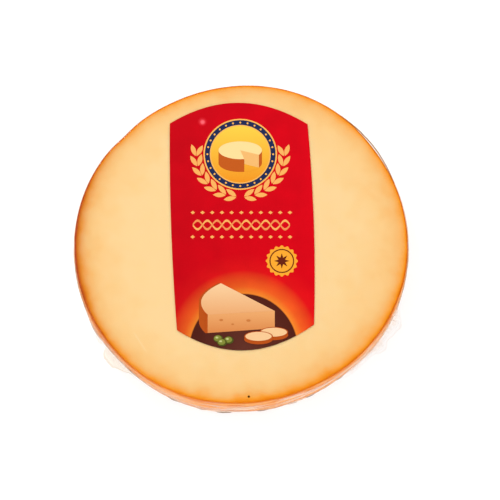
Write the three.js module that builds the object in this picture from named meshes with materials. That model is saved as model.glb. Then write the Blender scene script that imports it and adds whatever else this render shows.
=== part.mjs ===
// A round slice of smoked provolone, heat-sealed in a clear shrink bag with a printed label on its face.
// The slice lies on its back: +Z is up, +Y runs to the top of the label, and the origin is under its middle.
import * as THREE from 'three';

// Driving dimensions, in millimetres and degrees
const RIM_RADIUS = 70; // mean radius at the widest of the rim, film included
const THICKNESS = 20; // from the flat back to the face
const UNEVENNESS = [
  // how far the slice is from round: lobes round the rim, their height, and where the first one peaks
  { lobes: 2, height: 0.92, peak: 20.3 },
  { lobes: 3, height: 0.22, peak: -37.7 },
  { lobes: 4, height: 0.33, peak: -20 },
];
const DENT = { angle: 137.5, spread: 5.5, depth: 0.55 }; // a flattened stretch of rim
const LEAN = [
  // where the rim doesn't run square to the face: how far in its lower edge lies, less than 0 for out
  { angle: -152, spread: 5, depth: -0.45 },
  { angle: -134, spread: 13, depth: 0.8 },
  { angle: -102, spread: 7, depth: -0.4 },
  { angle: -79, spread: 6, depth: -0.3 },
  { angle: -48, spread: 10, depth: 0.6 },
];

const FACE_ROUND = 0.8; // rounding between the face and the rim
const BACK_ROUND = 1.2; // rounding between the rim and the back
const RIM_BULGE = 0.35; // how far the rim swells between its two roundings

const PLEATS = { middle: -85, reach: 110, depth: 0.12, fine: 37, coarse: 23 }; // puckers of the shrunk film

const SEAL_HEIGHT = 7.5; // height of the bag's seal on the rim, at the two sides
const SEAL_CLIMB = 1.5; // how much higher it runs at +Y, and lower at -Y
const SEAL_FOOT = 1.6; // thickness of the seal where it leaves the rim
const SEAL_EDGE = 0.5; // thickness of the seal at its edge
const CURVED_SEAL = { middle: 72, reach: 62, width: 1.2 }; // the welded end that hugs the rim
const EARS = [
  // where the film stands out past the rim: angles along the rim, and how far it stands out at each
  {
    angles: [18, 24, 30, 36, 42, 54, 61],
    widths: [0, 1.2, 1.8, 2.2, 2.4, 2.4, 0],
  },
  {
    angles: [-144, -142.8, -141.3, -137.3, -135.2, -133.3, -131.5, -127],
    widths: [0, 2.9, 4.3, 4.5, 3.1, 2.3, 1.3, 0],
  },
  {
    angles: [-150, -148.5, -146, -144],
    widths: [0, 1.5, 1.9, 0],
  },
  {
    angles: [-55, -50, -46, -42, -38.5, -37.3, -35.7, -33, -30.4, -27, -24, -19],
    widths: [0, 2, 2.6, 2, 2.3, 4, 5, 3.6, 4.4, 4.9, 2.9, 0],
  },
];

const LABEL_THICKNESS = 0.35;
const LABEL_GAP = 0.3; // clearance between the label and the film
const LABEL_CORNERS = {
  topLeft: new THREE.Vector2(-30.45, 52),
  topRight: new THREE.Vector2(28.1, 51.7),
  bottomRight: new THREE.Vector2(30.4, -35.3),
  bottomLeft: new THREE.Vector2(-26.9, -37.7),
};
const LABEL_BOW = { top: 9.35, right: 1.3, bottom: 9.8, left: 0.95 }; // how far each side bows out

// Fineness of the facets
const AROUND = 240; // steps round the rim
const ROUND_STEPS = 3; // steps in a rounding
const SIDE_STEPS = 3; // steps between a rounding and the seal
const BOW_STEPS = 16; // steps along a bowed side of the label

const degrees = THREE.MathUtils.degToRad;

// 1 at the middle angle, falling off like a bell to nothing on both sides
function bell(angle, middle, spread) {
  const away = Math.atan2(Math.sin(angle - degrees(middle)), Math.cos(angle - degrees(middle)));
  return Math.exp(-((away / degrees(spread)) ** 2));
}

// 1 over most of a stretch of the rim, easing to 0 at its two ends
function stretch(angle, middle, reach) {
  const away = Math.abs(Math.atan2(Math.sin(angle - degrees(middle)), Math.cos(angle - degrees(middle))));
  return 1 - THREE.MathUtils.smoothstep(away / degrees(reach), 0.7, 1);
}

// Radius of the slice at its widest, at an angle from +X
function outline(angle) {
  let radius = RIM_RADIUS - DENT.depth * bell(angle, DENT.angle, DENT.spread);
  for (const { lobes, height, peak } of UNEVENNESS) {
    radius += height * Math.cos(lobes * (angle - degrees(peak)));
  }
  return radius;
}

// How far in from the square the rim lies at a height
function leanIn(angle, height) {
  let depth = 0;
  for (const lean of LEAN) {
    depth += lean.depth * bell(angle, lean.angle, lean.spread);
  }
  return depth * (1 - height / THICKNESS);
}

// Radius of the rim at a height: it swells in the middle and puckers towards the mouth of the bag
function rim(angle, height) {
  const swell = Math.sin((Math.PI * height) / THICKNESS);
  const pucker = 0.6 * Math.sin(PLEATS.fine * angle) + 0.4 * Math.sin(PLEATS.coarse * angle + 1);
  const pleated = PLEATS.depth * pucker * stretch(angle, PLEATS.middle, PLEATS.reach);
  return outline(angle) - leanIn(angle, height) - RIM_BULGE * (1 - swell) + pleated * swell;
}

// How far the film of an ear stands out at an angle, straight from each of its angles to the next
function earWidth({ angles, widths }, angle) {
  const here = THREE.MathUtils.radToDeg(Math.atan2(Math.sin(angle), Math.cos(angle)));
  const next = angles.findIndex((end) => end > here);
  if (next < 1) return 0;
  return THREE.MathUtils.mapLinear(here, angles[next - 1], angles[next], widths[next - 1], widths[next]);
}

// How far the seal stands out from the rim
function sealWidth(angle) {
  const width = CURVED_SEAL.width * stretch(angle, CURVED_SEAL.middle, CURVED_SEAL.reach);
  return Math.max(width, ...EARS.map((ear) => earWidth(ear, angle)));
}

// Half of the section at an angle, from the back's edge over the rim to the face's edge
function sectionAt(angle) {
  const section = [];
  const add = (radius, height) => section.push(new THREE.Vector2(radius, height));

  const backEdge = rim(angle, BACK_ROUND) - BACK_ROUND;
  for (let i = 0; i < ROUND_STEPS; i++) {
    const turn = (i / ROUND_STEPS) * (Math.PI / 2);
    add(backEdge + BACK_ROUND * Math.sin(turn), BACK_ROUND * (1 - Math.cos(turn)));
  }

  const seal = SEAL_HEIGHT + SEAL_CLIMB * Math.sin(angle);
  const sealBottom = seal - SEAL_FOOT / 2;
  const sealTop = seal + SEAL_FOOT / 2;
  for (let i = 0; i <= SIDE_STEPS; i++) {
    const height = THREE.MathUtils.lerp(BACK_ROUND, sealBottom, i / SIDE_STEPS);
    add(rim(angle, height), height);
  }
  const sealReach = rim(angle, seal) + sealWidth(angle);
  add(sealReach, seal - SEAL_EDGE / 2);
  add(sealReach, seal + SEAL_EDGE / 2);
  const faceRoundStart = THICKNESS - FACE_ROUND;
  for (let i = 0; i <= SIDE_STEPS; i++) {
    const height = THREE.MathUtils.lerp(sealTop, faceRoundStart, i / SIDE_STEPS);
    add(rim(angle, height), height);
  }

  const faceEdge = rim(angle, faceRoundStart) - FACE_ROUND;
  for (let i = 1; i <= ROUND_STEPS; i++) {
    const turn = (i / ROUND_STEPS) * (Math.PI / 2);
    add(faceEdge + FACE_ROUND * Math.cos(turn), faceRoundStart + FACE_ROUND * Math.sin(turn));
  }
  return section;
}

// The sealed slice: the same section, worked out afresh at every step round the rim
function sealedSlice() {
  const sections = Array.from({ length: AROUND }, (_, i) => sectionAt((i / AROUND) * 2 * Math.PI));
  const rings = sections[0].length;
  const positions = [];
  sections.forEach((section, i) => {
    const angle = (i / AROUND) * 2 * Math.PI;
    for (const { x: radius, y: height } of section) {
      positions.push(radius * Math.cos(angle), radius * Math.sin(angle), height);
    }
  });
  const backMiddle = AROUND * rings;
  const faceMiddle = backMiddle + 1;
  positions.push(0, 0, 0, 0, 0, THICKNESS);

  const triangles = [];
  for (let i = 0; i < AROUND; i++) {
    const here = i * rings;
    const next = ((i + 1) % AROUND) * rings;
    for (let j = 0; j < rings - 1; j++) {
      triangles.push(here + j, next + j, next + j + 1);
      triangles.push(here + j, next + j + 1, here + j + 1);
    }
    triangles.push(backMiddle, next, here);
    triangles.push(faceMiddle, here + rings - 1, next + rings - 1);
  }

  const geometry = new THREE.BufferGeometry();
  geometry.setAttribute('position', new THREE.Float32BufferAttribute(positions, 3));
  geometry.setIndex(triangles);
  geometry.computeVertexNormals();
  return geometry;
}

// Points along a parabola from one corner to just before the next, bowed outwards; the outline runs clockwise
function bowedSide(from, to, bow) {
  const chord = to.clone().sub(from);
  const outwards = new THREE.Vector2(-chord.y, chord.x).normalize();
  const points = [];
  for (let i = 0; i < BOW_STEPS; i++) {
    const along = i / BOW_STEPS;
    const rise = 4 * bow * along * (1 - along);
    points.push(from.clone().addScaledVector(chord, along).addScaledVector(outwards, rise));
  }
  return points;
}

// The label: a barrel-sided sheet with an arched head and foot, stuck a little askew
function labelSheet() {
  const { topLeft, topRight, bottomRight, bottomLeft } = LABEL_CORNERS;
  const shape = new THREE.Shape([
    ...bowedSide(topLeft, topRight, LABEL_BOW.top),
    ...bowedSide(topRight, bottomRight, LABEL_BOW.right),
    ...bowedSide(bottomRight, bottomLeft, LABEL_BOW.bottom),
    ...bowedSide(bottomLeft, topLeft, LABEL_BOW.left),
  ]);
  return new THREE.ExtrudeGeometry(shape, { depth: LABEL_THICKNESS, bevelEnabled: false });
}

const cheeseInFilm = new THREE.MeshStandardMaterial({ color: 0xfbd391, roughness: 0.3, metalness: 0 });
const redPrint = new THREE.MeshStandardMaterial({ color: 0xcb0d20, roughness: 0.35, metalness: 0 });

const group = new THREE.Group();

const slice = new THREE.Mesh(sealedSlice(), cheeseInFilm);
slice.name = 'sealed_slice';
group.add(slice);

const label = new THREE.Mesh(labelSheet(), redPrint);
label.name = 'label';
label.position.z = THICKNESS + LABEL_GAP;
group.add(label);

export default group;
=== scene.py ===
import math

import bpy
import numpy as np
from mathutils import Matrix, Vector, noise


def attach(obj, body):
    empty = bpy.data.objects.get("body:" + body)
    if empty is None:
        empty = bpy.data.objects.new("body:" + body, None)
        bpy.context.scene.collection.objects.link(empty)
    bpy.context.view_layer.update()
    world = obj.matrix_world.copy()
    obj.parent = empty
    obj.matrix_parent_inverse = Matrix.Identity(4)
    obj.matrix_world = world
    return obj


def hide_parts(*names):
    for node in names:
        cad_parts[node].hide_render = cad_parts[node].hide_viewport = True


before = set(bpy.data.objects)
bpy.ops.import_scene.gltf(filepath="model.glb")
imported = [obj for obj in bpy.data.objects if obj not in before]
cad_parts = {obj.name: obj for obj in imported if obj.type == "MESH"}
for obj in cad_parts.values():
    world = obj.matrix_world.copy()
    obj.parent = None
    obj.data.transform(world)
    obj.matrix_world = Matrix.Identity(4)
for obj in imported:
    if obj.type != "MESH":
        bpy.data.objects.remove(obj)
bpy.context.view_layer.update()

mm = 0.001
scene = bpy.context.scene

# ---------------- the studio
# A broad white table that glows a little, like a light table, under a tent of white light that is open
# at the top, where the camera looks in from the near side. A soft lamp stands over the far left corner.
scene.view_settings.view_transform = "Standard"
LIGHT_LEVEL = 1.2  # how brightly a white surface that lies flat is lit
TABLE_WIDTH = 40.0
TABLE_DROP = 0.1 * mm  # how far the table lies below the back of the slice
TABLE_GREY = (0.4, 0.4, 0.4, 1)
TABLE_GLOW = 0.7


def new_material(name):
    """A material and its tree of nodes."""
    material = bpy.data.materials.new(name)
    material.use_nodes = True
    return material, material.node_tree


def give(tree, node, inputs):
    """Gives a node's inputs their values, each of which is a plain one or another node's output."""
    for name, value in inputs.items():
        if isinstance(value, bpy.types.NodeSocket):
            tree.links.new(value, node.inputs[name])
        else:
            node.inputs[name].default_value = value
    return node


def new_node(tree, kind, inputs):
    """A new node of a kind, with its inputs given."""
    return give(tree, tree.nodes.new("ShaderNode" + kind), inputs)


bpy.ops.object.select_all(action="DESELECT")
bpy.ops.mesh.primitive_plane_add(size=TABLE_WIDTH, location=(0, 0, -TABLE_DROP))
bpy.ops.object.transform_apply(location=True)
table = bpy.context.object
table.name = "table"
table_paint, tree = new_material("white_table")
give(tree, tree.nodes["Principled BSDF"], {
    "Base Color": TABLE_GREY,
    "Roughness": 0.9,
    "Specular IOR Level": 0.0,
    "Emission Color": (1, 1, 1, 1),
    "Emission Strength": TABLE_GLOW,
})
table.data.materials.append(table_paint)

TENT_OPENING = 0.80  # upward part of the direction at which the tent starts to end
TENT_EDGE = 0.90  # and at which its opening is clear
TENT_GLOW = 1.43
OPENING_GLOW = 0.05
sky = bpy.data.worlds.new("light_tent")
sky.use_nodes = True
scene.world = sky
tree = sky.node_tree
direction = new_node(tree, "TexCoord", {}).outputs["Generated"]
upward = new_node(tree, "SeparateXYZ", {"Vector": direction}).outputs["Z"]
tent = new_node(tree, "MapRange", {
    "Value": upward,
    "From Min": TENT_OPENING,
    "From Max": TENT_EDGE,
    "To Min": TENT_GLOW,
    "To Max": OPENING_GLOW,
})
tent.interpolation_type = "SMOOTHSTEP"
give(tree, tree.nodes["Background"], {"Color": (1, 1, 1, 1), "Strength": tent.outputs["Result"]})

LAMP_AIM = Vector((0, 0, 0.01))
LAMP_PLACE = Vector((-0.62, 0.95, 1.35))
LAMP_SIZE = 0.35
LAMP_POWER = 8.6
bpy.ops.object.light_add(type="AREA", location=LAMP_PLACE)
lamp = bpy.context.object
lamp.name = "soft_lamp"
lamp.data.shape = "DISK"
lamp.data.size = LAMP_SIZE
lamp.data.energy = LAMP_POWER
lamp.rotation_euler = (LAMP_PLACE - LAMP_AIM).to_track_quat("Z", "Y").to_euler()

THICKNESS = 20.0 * mm  # of the slice, from its back to the face that the camera is aimed at
CAMERA_TILT = math.radians(13.5)
CAMERA_DISTANCE = 1.25
FRAME_WIDTH = 210.5 * mm  # what the camera's frame spans at the face of the slice
SENSOR_WIDTH = 36.0
AIM_RIGHT = 3.64 * mm  # the camera aims a little right of the middle of the face
AIM_UP = -3.14 * mm  # and a little below it
view_up = Vector((0, math.cos(CAMERA_TILT), math.sin(CAMERA_TILT)))
view_back = Vector((0, -math.sin(CAMERA_TILT), math.cos(CAMERA_TILT)))
camera_aim = Vector((AIM_RIGHT, 0, THICKNESS)) + AIM_UP * view_up
camera_place = camera_aim + CAMERA_DISTANCE * view_back
bpy.ops.object.camera_add(location=camera_place, rotation=(CAMERA_TILT, 0, 0))
camera = bpy.context.object
camera.data.sensor_width = SENSOR_WIDTH
camera.data.lens = SENSOR_WIDTH * CAMERA_DISTANCE / FRAME_WIDTH
scene.camera = camera

# ---------------- the cheese
# One slice sawn straight through a smoked provolone: two flat cream faces, and a thin rind that smoke has
# turned orange brown. The brown creeps a little way into the faces, and the outline isn't quite round.
RIM_RADIUS = 70.0 * mm  # mean radius at the widest, film included
UNEVENNESS = (  # lobes round the rim, their height, and the angle where the first one peaks
    (2, 0.92 * mm, 20.3),
    (3, 0.22 * mm, -37.7),
    (4, 0.33 * mm, -20),
)
DENT_ANGLE = 137.5  # a flattened stretch of rim
DENT_SPREAD = 5.5
DENT_DEPTH = 0.55 * mm
LEAN = (  # where the rim doesn't run square: angle, spread, and how far in its lower edge lies
    (-152, 5, -0.45 * mm),
    (-134, 13, 0.8 * mm),
    (-102, 7, -0.4 * mm),
    (-79, 6, -0.3 * mm),
    (-48, 10, 0.6 * mm),
)
RIM_BULGE = 0.35 * mm  # how far the rim swells between its two edges
CHEESE_AROUND = 480  # steps round the rim
CHEESE_GAP = 0.13 * mm  # between the rind and the outside of the film
CHEESE_BED = 0.12 * mm  # between a cut face and the outside of the film
CHEESE_EDGE = 0.55 * mm  # rounding where a face meets the rim
CHEESE_EDGE_STEPS = 6
CHEESE_SIDE_STEPS = 14
CHEESE_FACE_RINGS = (0.5, 0.8, 1.2, 2, 3, 4, 5, 6, 6, 6, 6, 6, 6)  # widths of a face's rings, in mm


def away_from(angle, middle):
    """How far an angle lies from another, from 0 to half a turn."""
    return np.abs(np.arctan2(np.sin(angle - middle), np.cos(angle - middle)))


def bell(angle, middle, spread):
    """1 at a middle angle, falling off to nothing on both sides; the middle and spread are in degrees."""
    return np.exp(-((away_from(angle, math.radians(middle)) / math.radians(spread)) ** 2))


def bells(angle, table):
    """The sum of some bells, each with its middle, its spread and its height."""
    return sum(height * bell(angle, middle, spread) for middle, spread, height in table)


def outline(angle):
    """Radius of the slice at its widest, at an angle from +X."""
    radius = RIM_RADIUS - DENT_DEPTH * bell(angle, DENT_ANGLE, DENT_SPREAD)
    for lobes, height, peak in UNEVENNESS:
        radius = radius + height * np.cos(lobes * (angle - math.radians(peak)))
    return radius


def lean_in(angle, height):
    """How far in from the square the rim lies at a height."""
    return (1 - height / THICKNESS) * bells(angle, LEAN)


def held(value):
    """A number held between 0 and 1."""
    return min(1.0, max(0.0, value))


def turn_up(name, steps, profile, middle=(0, 0)):
    """A closed round body: a disc at its foot, drawn up ring by ring through (radius, height)."""
    bpy.ops.object.select_all(action="DESELECT")
    (radius, height), *rest = profile
    start = (*middle, height)
    bpy.ops.mesh.primitive_circle_add(vertices=steps, radius=radius, fill_type="NGON", location=start)
    body = bpy.context.object
    body.name = name
    bpy.ops.object.transform_apply(location=True)
    bpy.ops.object.mode_set(mode="EDIT")
    bpy.ops.mesh.select_all(action="SELECT")
    for next_radius, next_height in rest:
        bpy.ops.mesh.extrude_region_move(TRANSFORM_OT_translate={"value": (0, 0, next_height - height)})
        share = next_radius / radius
        bpy.ops.transform.resize(value=(share, share, 1), center_override=(*middle, 0))
        radius, height = next_radius, next_height
    bpy.ops.mesh.select_all(action="SELECT")
    bpy.ops.mesh.normals_make_consistent(inside=False)
    bpy.ops.object.mode_set(mode="OBJECT")
    bpy.ops.object.shade_smooth()
    return body


def vertices_of(body):
    """The places of a mesh's vertices, as rows of x, y, z."""
    places = np.empty(len(body.data.vertices) * 3)
    body.data.vertices.foreach_get("co", places)
    return places.reshape(-1, 3)


def place_vertices(body, places):
    """Moves a mesh's vertices to these places."""
    body.data.vertices.foreach_set("co", places.ravel())
    body.data.update()


def keep_number(body, name, values):
    """Stores one number for each vertex, for the piece's own material to read."""
    layer = body.data.attributes.new(name, "FLOAT", "POINT")
    layer.data.foreach_set("value", np.asarray(values, dtype=np.float32))


cheese_edge = RIM_RADIUS - RIM_BULGE - CHEESE_GAP
side_low = CHEESE_BED + CHEESE_EDGE
side_high = THICKNESS - side_low
cheese_back = []
for i in range(CHEESE_EDGE_STEPS + 1):
    turn = 0.5 * math.pi * i / CHEESE_EDGE_STEPS
    rounded = CHEESE_EDGE * (1 - math.sin(turn))
    cheese_back.append((cheese_edge - rounded, CHEESE_BED + CHEESE_EDGE * (1 - math.cos(turn))))
inwards = CHEESE_EDGE
for width in CHEESE_FACE_RINGS:
    inwards += width * mm
    cheese_back.insert(0, (cheese_edge - inwards, CHEESE_BED))
cheese_side = []
for i in range(1, CHEESE_SIDE_STEPS):
    share = i / CHEESE_SIDE_STEPS
    swollen = cheese_edge + RIM_BULGE * math.sin(math.pi * share)
    cheese_side.append((swollen, side_low + (side_high - side_low) * share))
cheese_face = [(radius, THICKNESS - height) for radius, height in reversed(cheese_back)]
cheese = turn_up("cheese", CHEESE_AROUND, cheese_back + cheese_side + cheese_face)
places = vertices_of(cheese)
angle = np.arctan2(places[:, 1], places[:, 0])
radius = np.hypot(places[:, 0], places[:, 1])
down_rim = np.clip(side_high - places[:, 2], 0, None)
up_rim = np.clip(places[:, 2] - side_low, 0, None)

# The brown reaches a little further in on some sides than on others, the faces are paler towards the far
# side and the right, and the rim and the face are darker on the left. In each table a row is a stretch of
# the rim: the angle of its middle, its spread, and how strong it is.
BAND_NARROW = 1.02  # how many times narrower than CREAM_RUN the brown band on a face is
BAND_NARROWER = ((135, 30, 0.25), (232, 28, 0.3), (-10, 50, -0.15))
FACE_PALER = 1.0  # the faces have the colour of a place that lies this many mm further in
FACE_PALER_FAR = 0.35  # more so on the far side
FACE_PALER_RIGHT = 0.15  # and on the right
FACE_PALER_AT = ((183, 27, -0.85), (-62, 26, -0.4))
CORNER_PALER = 0.35  # so has the corner where a face meets the rim
CORNER_PALER_AT = ((160, 50, -0.33), (-85, 60, 0.5), (-125, 15, 0.3))
CORNER_WIDE = 0.35  # in mm; over the next mm the face's own paleness takes over
LEFT_DARKENING = ((178, 33, 0.95),)
DARKENING_REACH = 2.0  # how far into the face the darkening thins out, in mm
DARKENING_DEPTH = 5.0 * mm  # how far down the rind it does
from_rim = np.clip(cheese_edge - radius, 0, None) / mm
face_paler = FACE_PALER + FACE_PALER_FAR * np.sin(angle) + FACE_PALER_RIGHT * np.cos(angle)
face_paler += bells(angle, FACE_PALER_AT)
corner_paler = CORNER_PALER + bells(angle, CORNER_PALER_AT)
off_corner = np.clip(from_rim - CORNER_WIDE, 0, 1)
darker_left = np.exp(-from_rim / DARKENING_REACH - down_rim / DARKENING_DEPTH)
keep_number(cheese, "from_rim", from_rim * (BAND_NARROW + bells(angle, BAND_NARROWER)))
keep_number(cheese, "paler", corner_paler + (face_paler - corner_paler) * off_corner)
keep_number(cheese, "darkened", bells(angle, LEFT_DARKENING) * darker_left)

# The rind is paler towards the back, and browner where it meets a cut face and low on the left.
RIND_PALER = 0.15  # these are shares of the rind's own run of colours
RIND_EDGE_BROWN = 0.8
RIND_EDGE_TALL = 3.0 * mm
RIND_BROWNER_LOW_LEFT = ((214, 12, 0.4),)
to_edge = np.minimum(down_rim, up_rim)
browner = RIND_EDGE_BROWN * np.exp(-to_edge / RIND_EDGE_TALL) + bells(angle, RIND_BROWNER_LOW_LEFT)
keep_number(cheese, "on_rind", to_edge / mm)
keep_number(cheese, "rind_tone", RIND_PALER * down_rim / THICKNESS - browner)

# The rind ripples and the face swells, but only inwards, so that both stay under the film. The rind also
# falls back under the widest stretch of the bag's end weld.
RIND_RIPPLE = 0.12 * mm
RIPPLE_FINENESS = (150, 150, 60)  # bumps in a metre, each way
FACE_SWELL = 0.08 * mm
SWELL_FINENESS = 40
SWELL_SLICE = 0.3  # the slice of the noise that it follows
FIN_HOLLOW = ((36, 11, 0.3 * mm),)
hollow = bells(angle, FIN_HOLLOW)
outline_share = (outline(angle) - lean_in(angle, places[:, 2]) - hollow) / RIM_RADIUS
for i, place in enumerate(places):
    out = held(1 + (radius[i] - cheese_edge) / CHEESE_EDGE)
    ripple = 0.5 * noise.noise(Vector(place * RIPPLE_FINENESS)) - 0.5
    over_face = Vector((place[0] * SWELL_FINENESS, place[1] * SWELL_FINENESS, SWELL_SLICE))
    swell = 0.5 * noise.noise(over_face) - 0.5
    place[:2] *= outline_share[i] * (1 + RIND_RIPPLE * out * ripple / radius[i])
    if place[2] > 0.5 * THICKNESS:
        place[2] += FACE_SWELL * swell
place_vertices(cheese, places)

CREAM_RUN = (  # distance from the rim in mm, and the colour there as it is seen
    (0.0, (108, 46, 8)),
    (0.3, (162, 72, 10)),
    (0.6, (204, 94, 14)),
    (1.0, (232, 122, 20)),
    (1.5, (246, 146, 38)),
    (2.1, (250, 161, 60)),
    (2.9, (251, 173, 86)),
    (4.4, (250, 187, 112)),
    (7.0, (251, 199, 129)),
    (10.9, (253, 207, 140)),
    (16.0, (253, 210, 145)),
    (24.0, (254, 215, 153)),
    (32.0, (254, 216, 155)),
)
RIND_RUN = (  # how pale the rind is, and its colour
    (0.0, (236, 130, 52)),
    (0.3, (250, 164, 88)),
    (0.6, (254, 180, 114)),
    (1.0, (254, 192, 136)),
)
DARKENED_COLOUR = (164, 66, 46)
NOISE_LOW = 0.3  # a noise texture mostly lies between these two
NOISE_HIGH = 0.7


def seen(red, green, blue):
    """The colour that a surface needs to look like this, from 0 to 255, under these lights."""
    return tuple((part / 255) ** 2.2 / LIGHT_LEVEL for part in (red, green, blue)) + (1,)


def calculate(tree, operation, first, second=0.0):
    """The outcome of a sum on two values."""
    node = new_node(tree, "Math", {0: first, 1: second})
    node.operation = operation
    return node.outputs["Value"]


def remap(tree, value, from_low, from_high, to_low, to_high):
    """A value carried over from one range to another, and held at its ends."""
    return new_node(tree, "MapRange", {
        "Value": value,
        "From Min": from_low,
        "From Max": from_high,
        "To Min": to_low,
        "To Max": to_high,
    }).outputs["Result"]


def mix_colours(tree, factor, first, second, blend="MIX"):
    """A mix of two colours: the first alone at 0, and the second alone at 1."""
    node = tree.nodes.new("ShaderNodeMix")
    node.data_type = "RGBA"
    node.blend_type = blend
    return give(tree, node, {"Factor": factor, "A": first, "B": second}).outputs["Result"]


def colour_run(tree, run, distance, unit=1.0):
    """The colour at a distance along a run of colours, whose own distances are in a unit."""
    end = run[-1][0]
    ramp = new_node(tree, "ValToRGB", {"Fac": calculate(tree, "DIVIDE", distance, end * unit)})
    stops = ramp.color_ramp.elements
    stops[0].position, stops[0].color = run[0][0] / end, seen(*run[0][1])
    stops[1].position, stops[1].color = 1.0, seen(*run[-1][1])
    for stop, colour in run[1:-1]:
        stops.new(stop / end).color = seen(*colour)
    return ramp.outputs["Color"]


def object_place(tree):
    """The place of each point on the piece."""
    return new_node(tree, "TexCoord", {}).outputs["Object"]


def each_way(tree, place):
    """The x, y and z of a place."""
    return new_node(tree, "SeparateXYZ", {"Vector": place}).outputs


def distance_from(tree, middle):
    """How far each point on the piece lies from a middle."""
    node = new_node(tree, "VectorMath", {0: object_place(tree), 1: middle})
    node.operation = "DISTANCE"
    return node.outputs["Value"]


def mottle(tree, fineness, low, high, detail=2.0, each_finer=(1, 1, 1)):
    """A noise pattern fixed to the piece, between two values, with so many bumps in a metre."""
    finer = new_node(tree, "Mapping", {"Vector": object_place(tree), "Scale": each_finer})
    pattern = {"Vector": finer.outputs["Vector"], "Scale": fineness, "Detail": detail}
    noise_itself = new_node(tree, "TexNoise", pattern).outputs["Fac"]
    return remap(tree, noise_itself, NOISE_LOW, NOISE_HIGH, low, high)


def attribute(tree, name):
    """The numbers that keep_number stored under a name."""
    node = tree.nodes.new("ShaderNodeAttribute")
    node.attribute_name = name
    return node.outputs["Fac"]


# The colour of a face runs from the smoked rind to the cream middle with the distance from the rim, in
# soft blotches.
BLOTCHES = (130, 0.72, 1.35)  # bumps in a metre, and how many times further in the colour may seem
cheese_look, tree = new_material("smoked_provolone")
shader = give(tree, tree.nodes["Principled BSDF"], {
    "Roughness": 0.45,
    "Specular IOR Level": 0.0,  # the film lies wet on it, and has the shine
    "Subsurface Weight": 0.15,
    "Subsurface Scale": 0.003,
    "Subsurface Radius": (1.0, 0.55, 0.25),
})
blotches = mottle(tree, *BLOTCHES)
inwards = calculate(tree, "MULTIPLY", attribute(tree, "from_rim"), blotches)
inwards = calculate(tree, "ADD", inwards, attribute(tree, "paler"))
cream = colour_run(tree, CREAM_RUN, inwards)

# The rind is a golden brown, mottled in streaks that run round the rim.
STREAKS = (80, 0.05, 0.95)  # bumps in a metre, and the least and the most of RIND_RUN
STREAK_DETAIL = 4.0
STREAK_SHAPE = (1, 1, 5)  # how many times finer each way
RIND_FADE = 0.7  # over this many mm from a corner the colour of the face turns into the rind's
streaks = mottle(tree, *STREAKS, STREAK_DETAIL, STREAK_SHAPE)
paleness = calculate(tree, "ADD", streaks, attribute(tree, "rind_tone"))
rind = colour_run(tree, RIND_RUN, paleness)
covered = remap(tree, attribute(tree, "on_rind"), 0.0, RIND_FADE, 0.0, 1.0)
skin = mix_colours(tree, covered, cream, rind)
# towards the left the rim and the face turn a darker, duller brown
skin = mix_colours(tree, attribute(tree, "darkened"), skin, seen(*DARKENED_COLOUR))

# A speck of soot no bigger than a pinhead lies on the face near the bottom.
SPECK_PLACE = (3.15 * mm, -65.9 * mm, THICKNESS - CHEESE_BED)
SPECK_RADIUS = 0.6 * mm
SPECK_CORE = 0.6  # share of its radius that is fully dark
SPECK_COLOUR = (34, 14, 8)
from_speck = distance_from(tree, SPECK_PLACE)
on_speck = remap(tree, from_speck, SPECK_CORE * SPECK_RADIUS, SPECK_RADIUS, 1.0, 0.0)
skin = mix_colours(tree, on_speck, skin, seen(*SPECK_COLOUR))

# One faint straight line, as from a fold of the bag, lies on the lower left of the face: a painted
# highlight, paler than the cream around it.
CREASE_MIDDLE = (-42.4 * mm, -42.6 * mm, THICKNESS)
CREASE_LIE = math.radians(-57.5)
CREASE_HALF_LENGTH = 5.6 * mm
CREASE_FADE = 3.36 * mm  # how far from its middle it starts to fade
CREASE_HALF_WIDTH = 0.34 * mm
CREASE_CORE = 0.068 * mm  # and how far to its sides
CREASE_HIGHLIGHT_STRENGTH = 0.4
CREASE_HIGHLIGHT_COLOUR = (255, 232, 184)
on_crease = new_node(tree, "Mapping", {
    "Vector": object_place(tree),
    "Location": CREASE_MIDDLE,
    "Rotation": (0, 0, CREASE_LIE),
})
on_crease.vector_type = "TEXTURE"
along, aside, _ = each_way(tree, on_crease.outputs["Vector"])
along = calculate(tree, "ABSOLUTE", along)
aside = calculate(tree, "ABSOLUTE", aside)
on_length = remap(tree, along, CREASE_FADE, CREASE_HALF_LENGTH, CREASE_HIGHLIGHT_STRENGTH, 0.0)
on_line = remap(tree, aside, CREASE_CORE, CREASE_HALF_WIDTH, 1.0, 0.0)
crease_highlight = calculate(tree, "MULTIPLY", on_length, on_line)
skin = mix_colours(tree, crease_highlight, skin, seen(*CREASE_HIGHLIGHT_COLOUR))
give(tree, shader, {"Base Color": skin})
cheese.data.materials.append(cheese_look)

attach(cheese, "root")
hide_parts("sealed_slice")

# ---------------- the shrink bag
# A clear bag shrunk skin tight in hot water. Its curved end weld stands up as a thin fin round the far
# rim, the mouth lies pressed and puckered along the near rim, and its two corners stick out as ears.
FILM_AROUND = 720
FILM_THICKNESS = 0.06 * mm
FILM_INSET = 0.03 * mm  # how far the film lies inside the outline
FACE_ROUND = 0.8 * mm
BACK_ROUND = 1.2 * mm
ROUND_STEPS = 5
BELOW_WELD_STEPS = 12
ABOVE_WELD_STEPS = 16
FILM_FACE_RINGS = (0.5, 1.2, 2.5, 5, 12, 28, 55)  # distances in from a rounding, in mm
FACE_WRINKLES = 0.2  # share of the rim's wrinkles that reaches the face
FACE_WRINKLE_REACH = 3  # how far into the face they thin out, in mm
WELD_HEIGHT = 7.5 * mm  # height of the weld on the rim, at the two sides
WELD_CLIMB = 1.5 * mm  # how much higher it runs at +Y, and lower at -Y
WELD_TENT = 1.0 * mm  # half of the height of rim that the weld lifts
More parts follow.
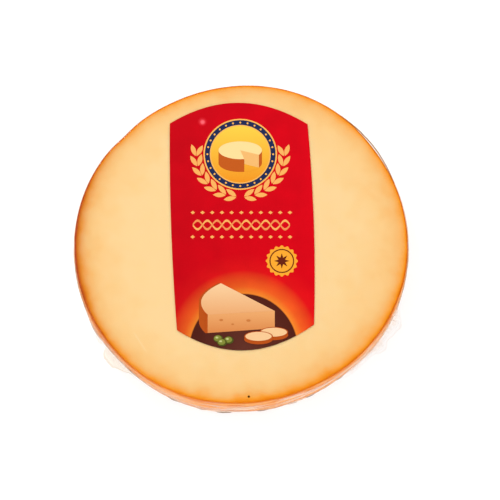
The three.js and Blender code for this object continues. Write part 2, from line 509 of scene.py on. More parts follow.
WELD_RINGS = (  # height over the weld's middle as a share of the tent, and reach as a share of its width
    (-1.0, 0.0), (-0.6, 0.04), (-0.3, 0.2), (-0.14, 0.5), (-0.12, 0.79), (-0.115, 0.81), (-0.10, 1.0),
    (0.10, 1.0), (0.115, 0.81), (0.12, 0.79), (0.14, 0.5), (0.3, 0.2), (0.6, 0.04), (1.0, 0.0),
)
END_WELD_MIDDLE = math.radians(72)
END_WELD_REACH = math.radians(62)
END_WELD_WIDTH = 1.2 * mm
END_WELD_DARK = 0.5  # how dark its edge is
EARS = (  # angles, how far the film stands out there in mm, its milkiness, and how dark its edge is
    (
        (18, 24, 30, 36, 42, 54, 61),
        (0, 1.2, 1.8, 2.2, 2.4, 2.4, 0),
        0.0, 1.0,
    ),
    (
        (-144, -142.8, -141.3, -137.3, -135.2, -133.3, -131.5, -127),
        (0, 2.9, 4.3, 4.5, 3.1, 2.3, 1.3, 0),
        1.0, 0.07,
    ),
    (
        (-150, -148.5, -146, -144),
        (0, 1.5, 1.9, 0),
        0.3, 0.05,
    ),
    (
        (-55, -50, -46, -42, -38.5, -37.3, -35.7, -33, -30.4, -27, -24, -19),
        (0, 2.0, 2.6, 2.0, 2.3, 4.0, 5.0, 3.6, 4.4, 4.9, 2.9, 0),
        0.0, 0.03,
    ),
)
EAR_START = 2.0 * mm  # how much wider than the weld the film is where it counts as an ear in full
MOUTH_MIDDLE = math.radians(-85)
MOUTH_REACH = math.radians(110)
EASE_START = 0.7  # share of its reach at which a stretch of the rim starts to ease off

film_edge = RIM_RADIUS - RIM_BULGE - FILM_INSET
rim_high = THICKNESS - FACE_ROUND
weld_low = WELD_HEIGHT - WELD_TENT
weld_high = WELD_HEIGHT + WELD_TENT
film_rings = []  # radius, height, share of the weld's width, share of the wrinkles
for inset in reversed(FILM_FACE_RINGS):
    film_rings.append((film_edge - BACK_ROUND - inset * mm, 0.0, 0.0, 0.0))
for i in range(ROUND_STEPS):
    turn = 0.5 * math.pi * i / ROUND_STEPS
    ring_radius = film_edge - BACK_ROUND * (1 - math.sin(turn))
    film_rings.append((ring_radius, BACK_ROUND * (1 - math.cos(turn)), 0.0, i / ROUND_STEPS))
for level in np.linspace(BACK_ROUND, weld_low, BELOW_WELD_STEPS, endpoint=False):
    film_rings.append((film_edge, level, 0.0, 1.0))
for tent_share, width_share in WELD_RINGS:
    film_rings.append((film_edge, WELD_HEIGHT + WELD_TENT * tent_share, width_share, 1.0))
for level in np.linspace(weld_high, rim_high, ABOVE_WELD_STEPS + 1)[1:]:
    film_rings.append((film_edge, level, 0.0, 1.0))
for i in range(1, ROUND_STEPS + 1):
    turn = 0.5 * math.pi * i / ROUND_STEPS
    ring_radius = film_edge - FACE_ROUND * (1 - math.cos(turn))
    wrinkled = 1 - (1 - FACE_WRINKLES) * i / ROUND_STEPS
    film_rings.append((ring_radius, THICKNESS - FACE_ROUND * (1 - math.sin(turn)), 0.0, wrinkled))
for inset in FILM_FACE_RINGS:
    wrinkled = FACE_WRINKLES * math.exp(-inset / FACE_WRINKLE_REACH)
    film_rings.append((film_edge - FACE_ROUND - inset * mm, THICKNESS, 0.0, wrinkled))
film = turn_up("film", FILM_AROUND, [(radius, height) for radius, height, _, _ in film_rings])


def stretch(angle, middle, reach):
    """1 over a stretch of the rim, easing to 0 towards the end of its reach on each side."""
    share = np.clip((away_from(angle, middle) / reach - EASE_START) / (1 - EASE_START), 0, 1)
    return 1 - share * share * (3 - 2 * share)


places = vertices_of(film)
angle = np.arctan2(places[:, 1], places[:, 0])
radius = np.hypot(places[:, 0], places[:, 1])
ring = np.arange(len(places)) // FILM_AROUND  # the rings were made one after another
weld = np.array([width_share for _, _, width_share, _ in film_rings])[ring]
loose = np.array([wrinkled for _, _, _, wrinkled in film_rings])[ring]

# The weld climbs towards the far side, and the rim's rings share out the height below and above it.
weld_middle = WELD_HEIGHT + WELD_CLIMB * np.sin(angle)
height = places[:, 2].copy()
on_rim = (height >= BACK_ROUND) & (height <= rim_high)
low = on_rim & (height < WELD_HEIGHT)
high = on_rim & ~low
low_share = (weld_middle[low] - BACK_ROUND) / (WELD_HEIGHT - BACK_ROUND)
high_share = (rim_high - weld_middle[high]) / (rim_high - WELD_HEIGHT)
height[low] = BACK_ROUND + (height[low] - BACK_ROUND) * low_share
height[high] = weld_middle[high] + (height[high] - WELD_HEIGHT) * high_share

width = END_WELD_WIDTH * stretch(angle, END_WELD_MIDDLE, END_WELD_REACH)
milkiness = np.zeros(len(places))
dark_edge = np.full(len(places), END_WELD_DARK)
for ear_angles, ear_widths, ear_milkiness, ear_dark in EARS:
    ear_width = mm * np.interp(np.degrees(angle), ear_angles, ear_widths)
    wider = ear_width > width
    width = np.where(wider, ear_width, width)
    milkiness = np.where(wider, ear_milkiness, milkiness)
    dark_edge = np.where(wider, ear_dark, dark_edge)
ears = np.clip((width - END_WELD_WIDTH) / EAR_START, 0, 1)
mouth = stretch(angle, MOUTH_MIDDLE, MOUTH_REACH)
from_mouth = RIM_RADIUS * np.arctan2(np.sin(angle - MOUTH_MIDDLE), np.cos(angle - MOUTH_MIDDLE))

# Where the film couldn't shrink flat it lies in folds: long ones that run round the rim, pleats that run
# up it, and small crumples. Each has its bumps in a metre round the rim and up it, and how thin it is.
LONG_FOLD = (30, 420, 3)
LONG_FOLD_DEPTH = 0.28 * mm
PLEAT = (520, 45, 2)
PLEAT_DEPTH = 0.12 * mm
MOUTH_PLEATS = 0.3  # share of the ears' pleats that the mouth has
CRUMPLE = (300, 300, 2)
CRUMPLE_DEPTH = 0.08 * mm
FAR_WRINKLES = 0.06  # share of the mouth's folds that the far rim has
FOLD_NARROW = 2.5  # how narrow the folds are before they are thinned
LEAST_LOOSE = 0.01  # film with a smaller share of the wrinkles is left smooth


def fold(place, along, up, thinness):
    """A pattern of thin raised folds, from 0 to 1."""
    spot = Vector((place[0] * along, place[1] * along, place[2] * up))
    return max(0.0, 1 - FOLD_NARROW * abs(noise.noise(spot))) ** thinness


# Along the lower edge of the rind the film stands off in a broken fold, which the ears pull flat. The
# film is darkened along the fold with painted shade.
HEM_FOLD = 0.30 * mm
HEM_HEIGHT = 1.1 * mm
HEM_SPREAD = 0.8 * mm
HEM_WHOLE = 0.45  # how whole it is, and how strongly it is broken up
HEM_BROKEN = 2.4
HEM_FINENESS = 190
HEM_SLICE = 4.2
HEM_PULLED_FLAT = 0.85


def hem_at(place):
    """How far the broken fold stands off at a place, from 0 to 1."""
    broken = noise.noise(Vector((place[0] * HEM_FINENESS, place[1] * HEM_FINENESS, HEM_SLICE)))
    off_middle = (place[2] - HEM_HEIGHT) / HEM_SPREAD
    return held(HEM_WHOLE + HEM_BROKEN * broken) * math.exp(-(off_middle**2))


# A pale streak, a painted highlight, runs along the near rim and climbs to the right, with fainter wisps
# round it. It thins out sooner on the left of the mouth than on the right, and fades out towards the
# face.
STREAK_HEIGHT = 9.0 * mm
STREAK_CLIMB = 0.07
STREAK_TALL = 1.1 * mm
STREAK_REACH_LEFT = 34.0 * mm
STREAK_REACH_RIGHT = 58.0 * mm
STREAK_START = 4.0 * mm  # how far below the face it has its full strength
STREAK_LINE = (0.4, 8.1)  # the line through the noise that it follows
WISP_LONG = 13.0 * mm
WISP_TALL = 3.2 * mm
WISP_SLICE = 1.7
WISP_CONTRAST = 3.0
WISP_GAPS = 0.3  # how much of the pattern is left clear
WISP_STRENGTH = 0.6
WISP_SPREAD = 0.35  # share of it that doesn't thin out with the streak


def streak_highlight(from_mouth, height):
    """How strong the pale streak's painted highlight is at a distance round the rim from the mouth's
    middle.
    """
    climbed = height - STREAK_CLIMB * from_mouth
    fullness = 1 + noise.noise(Vector((from_mouth / WISP_LONG, *STREAK_LINE)))
    streak = fullness * math.exp(-(((climbed - STREAK_HEIGHT) / STREAK_TALL / fullness) ** 2))
    reach = STREAK_REACH_LEFT if from_mouth < 0 else STREAK_REACH_RIGHT
    thinning = math.exp(-((from_mouth / reach) ** 4))
    wisp = noise.noise(Vector((from_mouth / WISP_LONG, climbed / WISP_TALL, WISP_SLICE)))
    wisp = held(WISP_CONTRAST * wisp - WISP_GAPS)
    wisp *= WISP_STRENGTH * (WISP_SPREAD + (1 - WISP_SPREAD) * thinning)
    return max(streak * thinning, wisp) * min(1.0, (THICKNESS - height) / STREAK_START)


# The film is milky in its folds and a little towards the back, but lies too tight for it at the face. It
# clears towards the flat welded edge.
BACK_MILK = 0.15
LONG_FOLD_MILK = 0.6
CRUMPLE_MILK = 0.3
MILK_START = 5.0 * mm  # how far below the face it has its full strength
CLEAR_WELD = 1.7  # how fast the film clears towards the edge of the weld
crinkle_and_highlight = np.zeros(len(places))
push = np.zeros(len(places))
hem = np.zeros(len(places))
for i in np.nonzero(loose > LEAST_LOOSE)[0]:
    place = (places[i, 0], places[i, 1], height[i])
    long_fold = fold(place, *LONG_FOLD)
    pleat = fold(place, *PLEAT)
    crumple = fold(place, *CRUMPLE)
    near_mouth = FAR_WRINKLES + (1 - FAR_WRINKLES) * mouth[i]
    if height[i] < 0.5 * THICKNESS:
        hem[i] = near_mouth * hem_at(place) * (1 - HEM_PULLED_FLAT * ears[i])
    push[i] = HEM_FOLD * hem[i] + loose[i] * (
        LONG_FOLD_DEPTH * long_fold * near_mouth
        + PLEAT_DEPTH * pleat * (MOUTH_PLEATS * near_mouth + ears[i])
        + CRUMPLE_DEPTH * crumple * near_mouth
    )
    milk_and_highlight = BACK_MILK * (1 - height[i] / THICKNESS)
    milk_and_highlight += LONG_FOLD_MILK * long_fold**3 + CRUMPLE_MILK * crumple**3
    milk_and_highlight *= min(1.0, (THICKNESS - height[i]) / MILK_START)
    # the pale streak is a painted highlight, laid on as more milk
    milk_and_highlight += streak_highlight(from_mouth[i], height[i])
    crinkle_and_highlight[i] = held(loose[i] * near_mouth * milk_and_highlight) * max(0.0, 1 - CLEAR_WELD * weld[i])

# The ears are torn a little ragged, those on the right the most. They droop and curl.
RAGGED_FINENESS = 260
RAGGED_SLICE = 0.7
RAGGED = 0.03
RAGGED_RIGHT = 0.3
DROOP = 0.25  # share of its width by which the weld's edge hangs down
CURL = 0.2 * mm
CURL_START = 0.4  # share of its width where it starts to curl
CURLS = 40
CURL_UNEVEN = 3
over_plan = [Vector((x * RAGGED_FINENESS, y * RAGGED_FINENESS, RAGGED_SLICE)) for x, y, _ in places]
jagged = np.array([noise.noise(spot) for spot in over_plan])
right_ears = (places[:, 0] > 0) & (places[:, 1] < 0)
width *= 1 + np.where(right_ears, RAGGED_RIGHT, RAGGED) * jagged
bulge = RIM_BULGE * np.where(on_rim, np.sin(np.pi * height / THICKNESS), 0)
out = (outline(angle) - lean_in(angle, height)) * radius / RIM_RADIUS + bulge + push + width * weld
droop = DROOP * width * weld * weld
curl = CURL * np.where(weld > CURL_START, ears, 0) * np.sin(angle * CURLS + CURL_UNEVEN * jagged)
places[:, 0] = out * np.cos(angle)
places[:, 1] = out * np.sin(angle)
places[:, 2] = height - droop + curl
place_vertices(film, places)

# Painted shade darkens the film along the broken fold, along the edges of the weld and the ears, and in
# ragged patches on the ears; along the edge of the far fin the painted shade is brown.
EDGE_START = 0.80  # share of the weld's width where its edge begins
EDGE_SHADE = 0.9  # how dark a fully dark edge of it is
EAR_SHADE = 0.01  # how dark an ear is, in ragged patches
EAR_PATCHES = 1.2
welded = np.clip(weld * width / mm, 0, 1)
on_edge = weld > EDGE_START
edge_shade = np.where(on_edge, EDGE_SHADE * dark_edge, 0)
ear_shade = EAR_SHADE * ears * np.clip(weld, 0, 1) * (1 + EAR_PATCHES * jagged)
keep_number(film, "welded", welded)
keep_number(film, "milky", welded * milkiness)
keep_number(film, "crinkle_and_highlight", crinkle_and_highlight)
keep_number(film, "shade", np.maximum.reduce([hem, ear_shade, edge_shade]))
keep_number(film, "brown_edge_shade", np.where(on_edge, np.clip(dark_edge - END_WELD_DARK, 0, 1), 0))


def give_wall(body, thickness, offset):
    """Gives a sheet a wall, inwards from it at -1 and outwards at 1."""
    bpy.ops.object.modifier_add(type="SOLIDIFY")
    wall = body.modifiers[-1]
    wall.thickness = thickness
    wall.offset = offset
    bpy.ops.object.modifier_apply(modifier=wall.name)


give_wall(film, FILM_THICKNESS, -1)

CLEAR_TINT = (0.995, 0.995, 0.995, 1)  # what one wall of the film lets through
MILKY_TINT = (0.996, 0.982, 0.957, 1)
SHADED_TINT = (0.60, 0.50, 0.39, 1)
RIND_TINT = (0.88, 0.71, 0.50, 1)
MILK_LIT_THROUGH = (0.98, 0.92, 0.85, 1)
MILK_LIT_ABOVE = (1.0, 0.86, 0.72, 1)
MILK_FROM_ABOVE = 0.85  # share of a milky place's light that comes off its upper side
CRINKLE_AND_HIGHLIGHT_HAZE = 0.50  # how milky the film is along a fold, and how strong the pale streak's painted highlight is
WELD_HAZE = 0.005  # and in the weld
HEAD_ON_SHINE = 0.004  # share of the light that each side of the film mirrors, seen straight on
GRAZING_SHINE = 0.02  # and how much more of it, seen along the film
GRAZING_POWER = 8.0
EDGE_ON_START = 0.84  # seen further along the film than this, it takes the colour of the rind
GLOSS_ROUGHNESS = 0.08


def mix_shaders(tree, factor, first, second):
    """A mix of two surfaces: the first alone at 0, and the second alone at 1."""
    return new_node(tree, "MixShader", {0: factor, 1: first, 2: second}).outputs["Shader"]


film_look, tree = new_material("shrink_film")
tree.nodes.remove(tree.nodes["Principled BSDF"])
facing = new_node(tree, "LayerWeight", {"Blend": 0.5}).outputs["Facing"]
edge_on = remap(tree, facing, EDGE_ON_START, 1.0, 0.0, 1.0)
rind_through = calculate(tree, "MAXIMUM", edge_on, attribute(tree, "brown_edge_shade"))
tint = mix_colours(tree, attribute(tree, "milky"), CLEAR_TINT, MILKY_TINT)
tint = mix_colours(tree, attribute(tree, "shade"), tint, SHADED_TINT)
tint = mix_colours(tree, rind_through, tint, RIND_TINT)
clear = new_node(tree, "BsdfTransparent", {"Color": tint}).outputs["BSDF"]
lit_through = new_node(tree, "BsdfTranslucent", {"Color": MILK_LIT_THROUGH}).outputs["BSDF"]
lit_above = new_node(tree, "BsdfDiffuse", {"Color": MILK_LIT_ABOVE}).outputs["BSDF"]
milky = mix_shaders(tree, MILK_FROM_ABOVE, lit_through, lit_above)
crinkle_and_highlight_haze = calculate(tree, "MULTIPLY", attribute(tree, "crinkle_and_highlight"), CRINKLE_AND_HIGHLIGHT_HAZE)
weld_haze = calculate(tree, "MULTIPLY", attribute(tree, "welded"), WELD_HAZE)
haze = calculate(tree, "ADD", crinkle_and_highlight_haze, weld_haze)
unshiny = mix_shaders(tree, haze, clear, milky)
gloss = new_node(tree, "BsdfAnisotropic", {"Roughness": GLOSS_ROUGHNESS, "Color": (1, 1, 1, 1)})
grazing = calculate(tree, "POWER", facing, GRAZING_POWER)
mirrored = calculate(tree, "MULTIPLY", grazing, GRAZING_SHINE)
mirrored = calculate(tree, "ADD", mirrored, HEAD_ON_SHINE)
surface = mix_shaders(tree, mirrored, unshiny, gloss.outputs["BSDF"])
give(tree, tree.nodes["Material Output"], {"Surface": surface})
film.data.materials.append(film_look)

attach(film, "root")
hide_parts("sealed_slice")

# ---------------- the label
# A tall barrel-sided label of glossy printed film, stuck on the bag a little askew. Its ground is red,
# with a dark-brown arch at the foot that warms the red round it to orange.
LABEL_CORNERS = (  # bottom left, bottom right, top left, top right
    Vector((-26.9, -37.7)) * mm,
    Vector((30.4, -35.3)) * mm,
    Vector((-30.45, 52.0)) * mm,
    Vector((28.1, 51.7)) * mm,
)
LABEL_BOW_TOP = 9.35 * mm
LABEL_BOW_BOTTOM = 9.8 * mm
LABEL_BOW_LEFT = 0.95 * mm
LABEL_BOW_RIGHT = 1.3 * mm
LABEL_CUTS = 47
LABEL_LIFT = 0.02 * mm
LABEL_THICKNESS = 0.12 * mm
label_bottom = THICKNESS + LABEL_LIFT
label_top = label_bottom + LABEL_THICKNESS


def bow_rise(along, bow):
    """How far a bowed side stands off the line between its corners, at a share of the way along it."""
    return 4 * bow * along * (1 - along)


bpy.ops.object.select_all(action="DESELECT")
bpy.ops.mesh.primitive_plane_add(size=1, location=(0.5, 0.5, 0))
label = bpy.context.object
label.name = "printed_label"
bpy.ops.object.transform_apply(location=True)
bpy.ops.object.mode_set(mode="EDIT")
bpy.ops.mesh.select_all(action="SELECT")
bpy.ops.mesh.subdivide(number_cuts=LABEL_CUTS)
bpy.ops.object.mode_set(mode="OBJECT")
places = vertices_of(label)
across, up = places[:, :1].copy(), places[:, 1:2].copy()
corners = [np.array(corner) for corner in LABEL_CORNERS]
bottom = corners[0] + (corners[1] - corners[0]) * across
top = corners[2] + (corners[3] - corners[2]) * across
flat = bottom + (top - bottom) * up
flat[:, 1:] += up * bow_rise(across, LABEL_BOW_TOP) - (1 - up) * bow_rise(across, LABEL_BOW_BOTTOM)
flat[:, :1] += across * bow_rise(up, LABEL_BOW_RIGHT) - (1 - across) * bow_rise(up, LABEL_BOW_LEFT)
places[:, :2] = flat
places[:, 2] = label_bottom
place_vertices(label, places)
give_wall(label, LABEL_THICKNESS, 1)

INK_ROUGHNESS = 0.32
INK_SHINE = 0.10
FOOT_MIDDLE = (1.0 * mm, -47.0 * mm)
FOOT_SIZE = (23.0 * mm, 25.0 * mm)  # half of the arch's width at its foot, and its height
FIELD_RUN = (  # distance from the foot's middle, 1 at the edge of the arch, and the colour there
    (0.0, (98, 52, 42)),
    (0.985, (82, 36, 28)),
    (1.0, (240, 132, 46)),
    (1.12, (234, 92, 36)),
    (1.4, (218, 22, 27)),
    (1.7, (210, 6, 26)),
    (3.0, (210, 4, 27)),
)
LIGHT_LEFT = 0.88  # the light falls off a little towards the left of the glossy print
LIGHT_RIGHT = 1.08
LIGHT_ACROSS = 30 * mm  # how far left and right of the middle it does
INK_PATCHES = (110, 0.94, 1.06)  # bumps in a metre, and how dark and how bright they are
INK_DETAIL = 3.0


def new_ink(name):
    """Glossy printing ink that still lacks its colour: its material, its tree and its shader."""
    material, tree = new_material(name)
    gloss = {"Roughness": INK_ROUGHNESS, "Specular IOR Level": INK_SHINE}
    return material, tree, give(tree, tree.nodes["Principled BSDF"], gloss)


label_look, tree, shader = new_ink("label_print")
label_ways = each_way(tree, object_place(tree))
squares = []
for way, middle, half in zip(label_ways, FOOT_MIDDLE, FOOT_SIZE):
    share = calculate(tree, "DIVIDE", calculate(tree, "SUBTRACT", way, middle), half)
    squares.append(calculate(tree, "POWER", share, 2.0))
from_foot = calculate(tree, "SQRT", calculate(tree, "ADD", *squares))
field = colour_run(tree, FIELD_RUN, from_foot)
patches = mottle(tree, *INK_PATCHES, INK_DETAIL)
sideways = remap(tree, label_ways["X"], -LIGHT_ACROSS, LIGHT_ACROSS, LIGHT_LEFT, LIGHT_RIGHT)
brightness = calculate(tree, "MULTIPLY", sideways, patches)
give(tree, shader, {"Base Color": mix_colours(tree, 1.0, field, brightness, "MULTIPLY")})
label.data.materials.append(label_look)

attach(label, "root")
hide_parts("label")

# ---------------- the medallion
# A round badge in gold and dark blue printed near the head of the label, with a small wheel of cheese
# that has a wedge cut out of it. Each colour is a film of ink laid over the one before.
INK_LAYER = 0.02 * mm
INK_SINK = 0.01 * mm


def ink_paint(name, colour, upper_colour=None, bottom=0.0, top=1.0):
    """Ink of one colour, or of one that runs into another between two heights on the label in mm."""
    material, tree, shader = new_ink(name)
    give(tree, shader, {"Base Color": seen(*colour)})
    if upper_colour:
        height = each_way(tree, object_place(tree))["Y"]
        share = remap(tree, height, bottom * mm, top * mm, 0.0, 1.0)
        run = ((0.0, colour), (1.0, upper_colour))
        give(tree, shader, {"Base Color": colour_run(tree, run, share)})
    return material


def ink_patch(corners, layer, paint):
    """A flat patch of ink on the label, through its corners in mm; a higher layer covers a lower one."""
    bpy.ops.object.select_all(action="DESELECT")
    start = (0, 0, label_top - INK_SINK)
    bpy.ops.mesh.primitive_circle_add(vertices=len(corners), radius=mm, fill_type="NGON", location=start)
    patch = bpy.context.object
    bpy.ops.object.transform_apply(location=True)
    places = vertices_of(patch)
    places[:, :2] = np.array(corners) * mm
    place_vertices(patch, places)
    bpy.ops.object.mode_set(mode="EDIT")
    bpy.ops.mesh.select_all(action="SELECT")
    rise = INK_SINK + layer * INK_LAYER
    bpy.ops.mesh.extrude_region_move(TRANSFORM_OT_translate={"value": (0, 0, rise)})
    bpy.ops.mesh.select_all(action="SELECT")
    bpy.ops.mesh.normals_make_consistent(inside=False)
    bpy.ops.object.mode_set(mode="OBJECT")
    patch.data.materials.append(paint)
    return patch


def point_round(middle, radius, turn):
    """The point at a radius and an angle from a middle."""
    return (middle[0] + radius * math.cos(turn), middle[1] + radius * math.sin(turn))


def oval(x, y, half_width, half_height, steps=48, start=0.0, end=2.0):
    """Points round an oval, from one angle to another in half turns."""
    part_only = end - start < 2
    turns = np.linspace(start, end, steps, endpoint=part_only) * math.pi
    return [(x + half_width * math.cos(turn), y + half_height * math.sin(turn)) for turn in turns]


def print_on_label(name, patches):
    """Joins patches of ink into one piece of the print."""
    bpy.ops.object.select_all(action="DESELECT")
    for patch in patches:
        patch.select_set(True)
    bpy.context.view_layer.objects.active = patches[0]
    bpy.ops.object.join()
    piece = bpy.context.object
    piece.name = name
    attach(piece, "root")


BADGE_MIDDLE = (-0.5, 38.5)  # in mm on the label, like every place and size in the print
BADGE_RINGS = (15.6, 15.0, 12.9, 12.4)  # radius of the gold edge, the blue ring, its gold line, the field
BEADS = 28
BEAD_RING = 13.95
BEAD_RADIUS = 0.42
WHEEL_MIDDLE = (-0.5, 40.2)
WHEEL_SIZE = (9.2, 3.9)  # half of its width and of its height
WHEEL_TALL = 5.6
CUT_START = -0.44  # where the missing wedge begins and ends round the wheel, in half turns
CUT_END = -0.17
FIELD_REACH = 12.0  # how far below and above the middle the field's colours run
field_low = BADGE_MIDDLE[1] - FIELD_REACH
field_high = BADGE_MIDDLE[1] + FIELD_REACH
gold_edge = ink_paint("gold_edge", (255, 186, 92))
deep_blue = ink_paint("deep_blue", (38, 46, 84))
gold_field = ink_paint("gold_field", (243, 150, 38), (255, 208, 74), field_low, field_high)
wheel_side = ink_paint("wheel_side", (196, 92, 34))
wheel_top = ink_paint("wheel_top", (255, 222, 152))
wheel_cut = ink_paint("wheel_cut", (246, 186, 112))
badge_paints = (gold_edge, deep_blue, gold_edge, gold_field)
badge = [
    ink_patch(oval(*BADGE_MIDDLE, ring, ring, 72), layer, paint)
    for layer, (ring, paint) in enumerate(zip(BADGE_RINGS, badge_paints), 1)
]
for bead in oval(*BADGE_MIDDLE, BEAD_RING, BEAD_RING, BEADS):
    badge.append(ink_patch(oval(*bead, BEAD_RADIUS, BEAD_RADIUS, 8), 3, gold_edge))
low_middle = (WHEEL_MIDDLE[0], WHEEL_MIDDLE[1] - WHEEL_TALL)
wheel_front = oval(*low_middle, *WHEEL_SIZE, 24, -1, 0)
wheel_back = oval(*WHEEL_MIDDLE, *WHEEL_SIZE, 24, 0, 1)
badge.append(ink_patch(wheel_front + wheel_back, 5, wheel_side))
badge.append(ink_patch(oval(*WHEEL_MIDDLE, *WHEEL_SIZE), 6, wheel_top))
rim_gap = oval(*WHEEL_MIDDLE, *WHEEL_SIZE, 10, CUT_START, CUT_END)
low_gap = [(x, y - WHEEL_TALL) for x, y in rim_gap]
badge.append(ink_patch([WHEEL_MIDDLE, rim_gap[0]] + low_gap + [rim_gap[-1]], 7, gold_field))

# The one cut that shows runs from the middle to the end of the gap, and the near rim hides part of it.
cut_share = (rim_gap[0][0] - low_middle[0]) / (rim_gap[-1][0] - low_middle[0])
cut_low = (rim_gap[0][0], low_middle[1] + cut_share * (low_gap[-1][1] - low_middle[1]))
badge.append(ink_patch([WHEEL_MIDDLE, rim_gap[0], cut_low, low_gap[-1], rim_gap[-1]], 8, wheel_cut))
print_on_label("medallion", badge)

# ---------------- the laurel
# Two printed branches that hold the medallion from below. Their pointed leaves stand in pairs, and all
# are one pale gold ink.
LEAF_PAIRS = 7
FIRST_PAIR = 0.22  # angle from straight below the medallion, in radians
NEXT_PAIR = 0.24
BRANCH_RADIUS = 18.6
LEAF_OFFSET = 1.3  # how far a leaf's middle lies to either side of the branch
LEAF_TILT = 0.42
LEAF_LONG = 5.4
LEAF_WIDE = 2.0


def leaf(middle, lie):
    """Points round a pointed leaf that lies along a direction."""
    along = np.linspace(-1, 1, 9)
    points = [(0.5 * LEAF_LONG * t, 0.5 * LEAF_WIDE * (1 - t * t)) for t in along]
    points += [(0.5 * LEAF_LONG * t, -0.5 * LEAF_WIDE * (1 - t * t)) for t in along[-2:0:-1]]
    cosine, sine = math.cos(lie), math.sin(lie)
    return [(middle[0] + a * cosine - b * sine, middle[1] + a * sine + b * cosine) for a, b in points]


pale_gold = ink_paint("pale_gold", (250, 178, 96))
laurel = []
for side in (-1, 1):
    for i in range(LEAF_PAIRS):
        turn = -0.5 * math.pi + side * (FIRST_PAIR + NEXT_PAIR * i)
        for outer in (1, -1):
            middle = point_round(BADGE_MIDDLE, BRANCH_RADIUS + outer * LEAF_OFFSET, turn)
            lie = turn + side * (0.5 * math.pi - outer * LEAF_TILT)
            laurel.append(ink_patch(leaf(middle, lie), 1, pale_gold))
print_on_label("laurel", laurel)

# ---------------- the cord and the diamonds
# A twisted cord printed across the middle of the label, of two strands in two inks, between two rows of
# small diamonds.
CORD_Y = 7.6
CORD_HALF_LENGTH = 20.5
CORD_SWING = 1.9
CORD_TWIST = 8.2  # length of one twist
CORD_HALF_WIDTH = 0.5
DIAMOND_ROWS = (13.0, 2.4)
DIAMONDS = 11
DIAMOND_SIZE = (0.95, 0.75)  # half of its width and of its height
amber = ink_paint("amber", (243, 148, 84))


def cord_strand(phase):
    """Points round one wavy strand of the cord, which starts at a phase of its twist."""
    along = np.linspace(-CORD_HALF_LENGTH, CORD_HALF_LENGTH, 101)
    swing = CORD_Y + CORD_SWING * np.sin(2 * math.pi * along / CORD_TWIST + phase)
    upper = [(x, y + CORD_HALF_WIDTH) for x, y in zip(along, swing)]
    lower = [(x, y - CORD_HALF_WIDTH) for x, y in zip(along, swing)]
    return lower + upper[::-1]


ornament = [ink_patch(cord_strand(0.0), 1, pale_gold), ink_patch(cord_strand(math.pi), 2, amber)]
for row_y in DIAMOND_ROWS:
    for x in np.linspace(-CORD_HALF_LENGTH, CORD_HALF_LENGTH, DIAMONDS):
        ornament.append(ink_patch(oval(x, row_y, *DIAMOND_SIZE, 4), 1, pale_gold))
print_on_label("cord_and_diamonds", ornament)

# ---------------- the seal
# A scalloped gold seal printed at the right of the label, with a dark ring and a star in it. Like the
# rest of the print it is laid on in layers.
SEAL_MIDDLE = (17.0, -8.0)
SEAL_RADIUS = 6.4
SEAL_RING = (5.2, 4.7)  # outer and inner radius of the dark ring
SCALLOPS = 16
SCALLOP_DEPTH = 0.4
STAR_POINTS = 8
STAR_RADII = (3.3, 1.5)
dark_ink = ink_paint("dark_ink", (104, 40, 24))
seal_gold = ink_paint("seal_gold", (252, 168, 52))
seal_edge = []
for turn in np.linspace(0, 2 * math.pi, 6 * SCALLOPS, endpoint=False):
    scalloped = SEAL_RADIUS + SCALLOP_DEPTH * math.cos(SCALLOPS * turn)
    seal_edge.append(point_round(SEAL_MIDDLE, scalloped, turn))
star = []
for i in range(2 * STAR_POINTS):
    star.append(point_round(SEAL_MIDDLE, STAR_RADII[i % 2], math.pi * i / STAR_POINTS))
print_on_label("printed_seal", [
    ink_patch(seal_edge, 1, seal_gold),
    ink_patch(oval(*SEAL_MIDDLE, SEAL_RING[0], SEAL_RING[0]), 2, dark_ink),
    ink_patch(oval(*SEAL_MIDDLE, SEAL_RING[1], SEAL_RING[1]), 3, seal_gold),
    ink_patch(star, 4, dark_ink),
])

# ---------------- the picture on the foot
# A painted still life on the brown arch: a wedge of smoked cheese with its rind, two round slices and
# three green olives. Each patch of colour is laid over the one before.
WEDGE_TALL = 8.0
WEDGE_TIP = (14.0, -29.5)
WEDGE_TIP_TALL = 0.93 * WEDGE_TALL  # it looks a little lower at its far tip
WEDGE_BACK = (-9.5, -17.5)
WEDGE_FRONT = (-15.0, -31.0)
WEDGE_BOW = (-17.4, -24.0)  # where the rind bows out between its two corners
RIND_WIDE = 0.9
RIND_DOWN = 0.1  # how much lower the inside of the rind looks
EYES = ((3.0, -33.6, 0.9), (-3.6, -35.2, 0.6), (-8.4, -33.4, 0.8))  # middle and half of the width
EYE_FLATNESS = 0.6
SLICES = ((5, (13.6, -38.6)), (8, (7.2, -40.4)))  # first layer and middle
OLIVES = ((4, (-9.6, -41.4)), (7, (-5.2, -42.0)), (10, (-8.0, -43.0)))
cheese_top = ink_paint("painted_cheese_top", (238, 172, 116), (250, 208, 158), -30, -17)
cheese_cut = ink_paint("painted_cheese_cut", (222, 138, 78), (240, 172, 110), -38, -29)
rind_ink = ink_paint("painted_rind", (186, 82, 30))
slice_top = ink_paint("painted_slice", (248, 200, 146))
olive_ink = ink_paint("painted_olive", (130, 136, 58))
olive_shade = ink_paint("painted_olive_shade", (80, 82, 34))
gleam_ink = ink_paint("painted_gleam", (196, 200, 130))
eye_ink = ink_paint("painted_eye", (206, 124, 66))
SLICE_OVALS = (  # how far right and up, half of the width and of the height, steps, and ink
    (0.0, -1.2, 6.0, 2.2, 32, rind_ink),
    (0.0, 0.0, 6.0, 2.2, 32, rind_ink),
    (0.0, 0.0, 5.5, 1.9, 32, slice_top),
)
OLIVE_OVALS = (
    (0.0, 0.0, 2.0, 1.6, 24, olive_shade),
    (-0.25, 0.2, 1.6, 1.25, 24, olive_ink),
    (-0.6, 0.5, 0.6, 0.4, 12, gleam_ink),
)
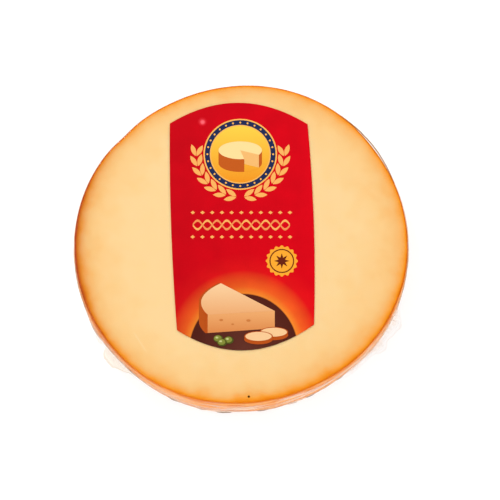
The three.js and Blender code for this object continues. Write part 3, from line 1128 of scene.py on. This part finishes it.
rind_arc = []  # a parabola from the front corner through the bow to the back corner
for share in np.linspace(0, 1, 12):
    bend = 2 * share * (1 - share)
    rind_arc.append(tuple(
        (1 - share) ** 2 * front + bend * (2 * bow - 0.5 * (front + back)) + share**2 * back
        for front, bow, back in zip(WEDGE_FRONT, WEDGE_BOW, WEDGE_BACK)
    ))
side_arc = rind_arc[: rind_arc.index(min(rind_arc)) + 1]
low_side = [(x, y - WEDGE_TALL) for x, y in reversed(side_arc)]
low_tip = (WEDGE_TIP[0], WEDGE_TIP[1] - WEDGE_TIP_TALL)
low_front = (WEDGE_FRONT[0], WEDGE_FRONT[1] - WEDGE_TALL)
inner_arc = [(x + RIND_WIDE, y - RIND_DOWN) for x, y in rind_arc]
inner_front = (WEDGE_FRONT[0] + RIND_WIDE, WEDGE_FRONT[1])
low_inner_front = (low_front[0] + RIND_WIDE, low_front[1])
picture = [
    ink_patch(side_arc + low_side, 1, rind_ink),
    ink_patch([WEDGE_TIP, low_tip, low_front, WEDGE_FRONT], 2, cheese_cut),
    ink_patch([WEDGE_TIP] + rind_arc, 3, rind_ink),
    ink_patch([WEDGE_TIP] + inner_arc, 4, cheese_top),
    ink_patch([WEDGE_FRONT, inner_front, low_inner_front, low_front], 5, rind_ink),
]
for x, y, half_width in EYES:
    picture.append(ink_patch(oval(x, y, half_width, EYE_FLATNESS * half_width, 12), 5, eye_ink))
for things, ovals in ((SLICES, SLICE_OVALS), (OLIVES, OLIVE_OVALS)):
    for first_layer, (x, y) in things:
        for layer, (right, up, half_width, half_height, steps, ink) in enumerate(ovals, first_layer):
            points = oval(x + right, y + up, half_width, half_height, steps)
            picture.append(ink_patch(points, layer, ink))
print_on_label("foot_picture", picture)

# ---------------- the blister
# A small bubble of air under the label near its head. The print is stretched over it, and a painted
# highlight on it fades from pink at its middle into the label's red.
BLISTER_MIDDLE = (-16.5 * mm, 52.6 * mm)
BLISTER_RADIUS = 2.6 * mm
BLISTER_HEIGHT = 0.20 * mm
BLISTER_RINGS = 10
BLISTER_AROUND = 40
BLISTER_HIGHLIGHT_RUN = (  # distance from its middle in mm, and the colour of the painted highlight there as it is seen
    (0.0, (255, 116, 124)),
    (0.7, (250, 92, 102)),
    (1.15, (224, 44, 56)),
    (1.7, (209, 18, 34)),
    (2.2, (202, 4, 27)),
)
dome = []
for i in range(BLISTER_RINGS + 1):
    share = 1 - i / (BLISTER_RINGS + 1)
    risen = BLISTER_HEIGHT * math.cos(0.5 * math.pi * share) ** 2
    dome.append((BLISTER_RADIUS * share, label_top - INK_SINK + risen))
blister = turn_up("blister", BLISTER_AROUND, dome, BLISTER_MIDDLE)
blister_look, tree, shader = new_ink("blister_painted_highlight")
from_middle = distance_from(tree, (*BLISTER_MIDDLE, label_top))
give(tree, shader, {"Base Color": colour_run(tree, BLISTER_HIGHLIGHT_RUN, from_middle, mm)})
blister.data.materials.append(blister_look)

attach(blister, "root")
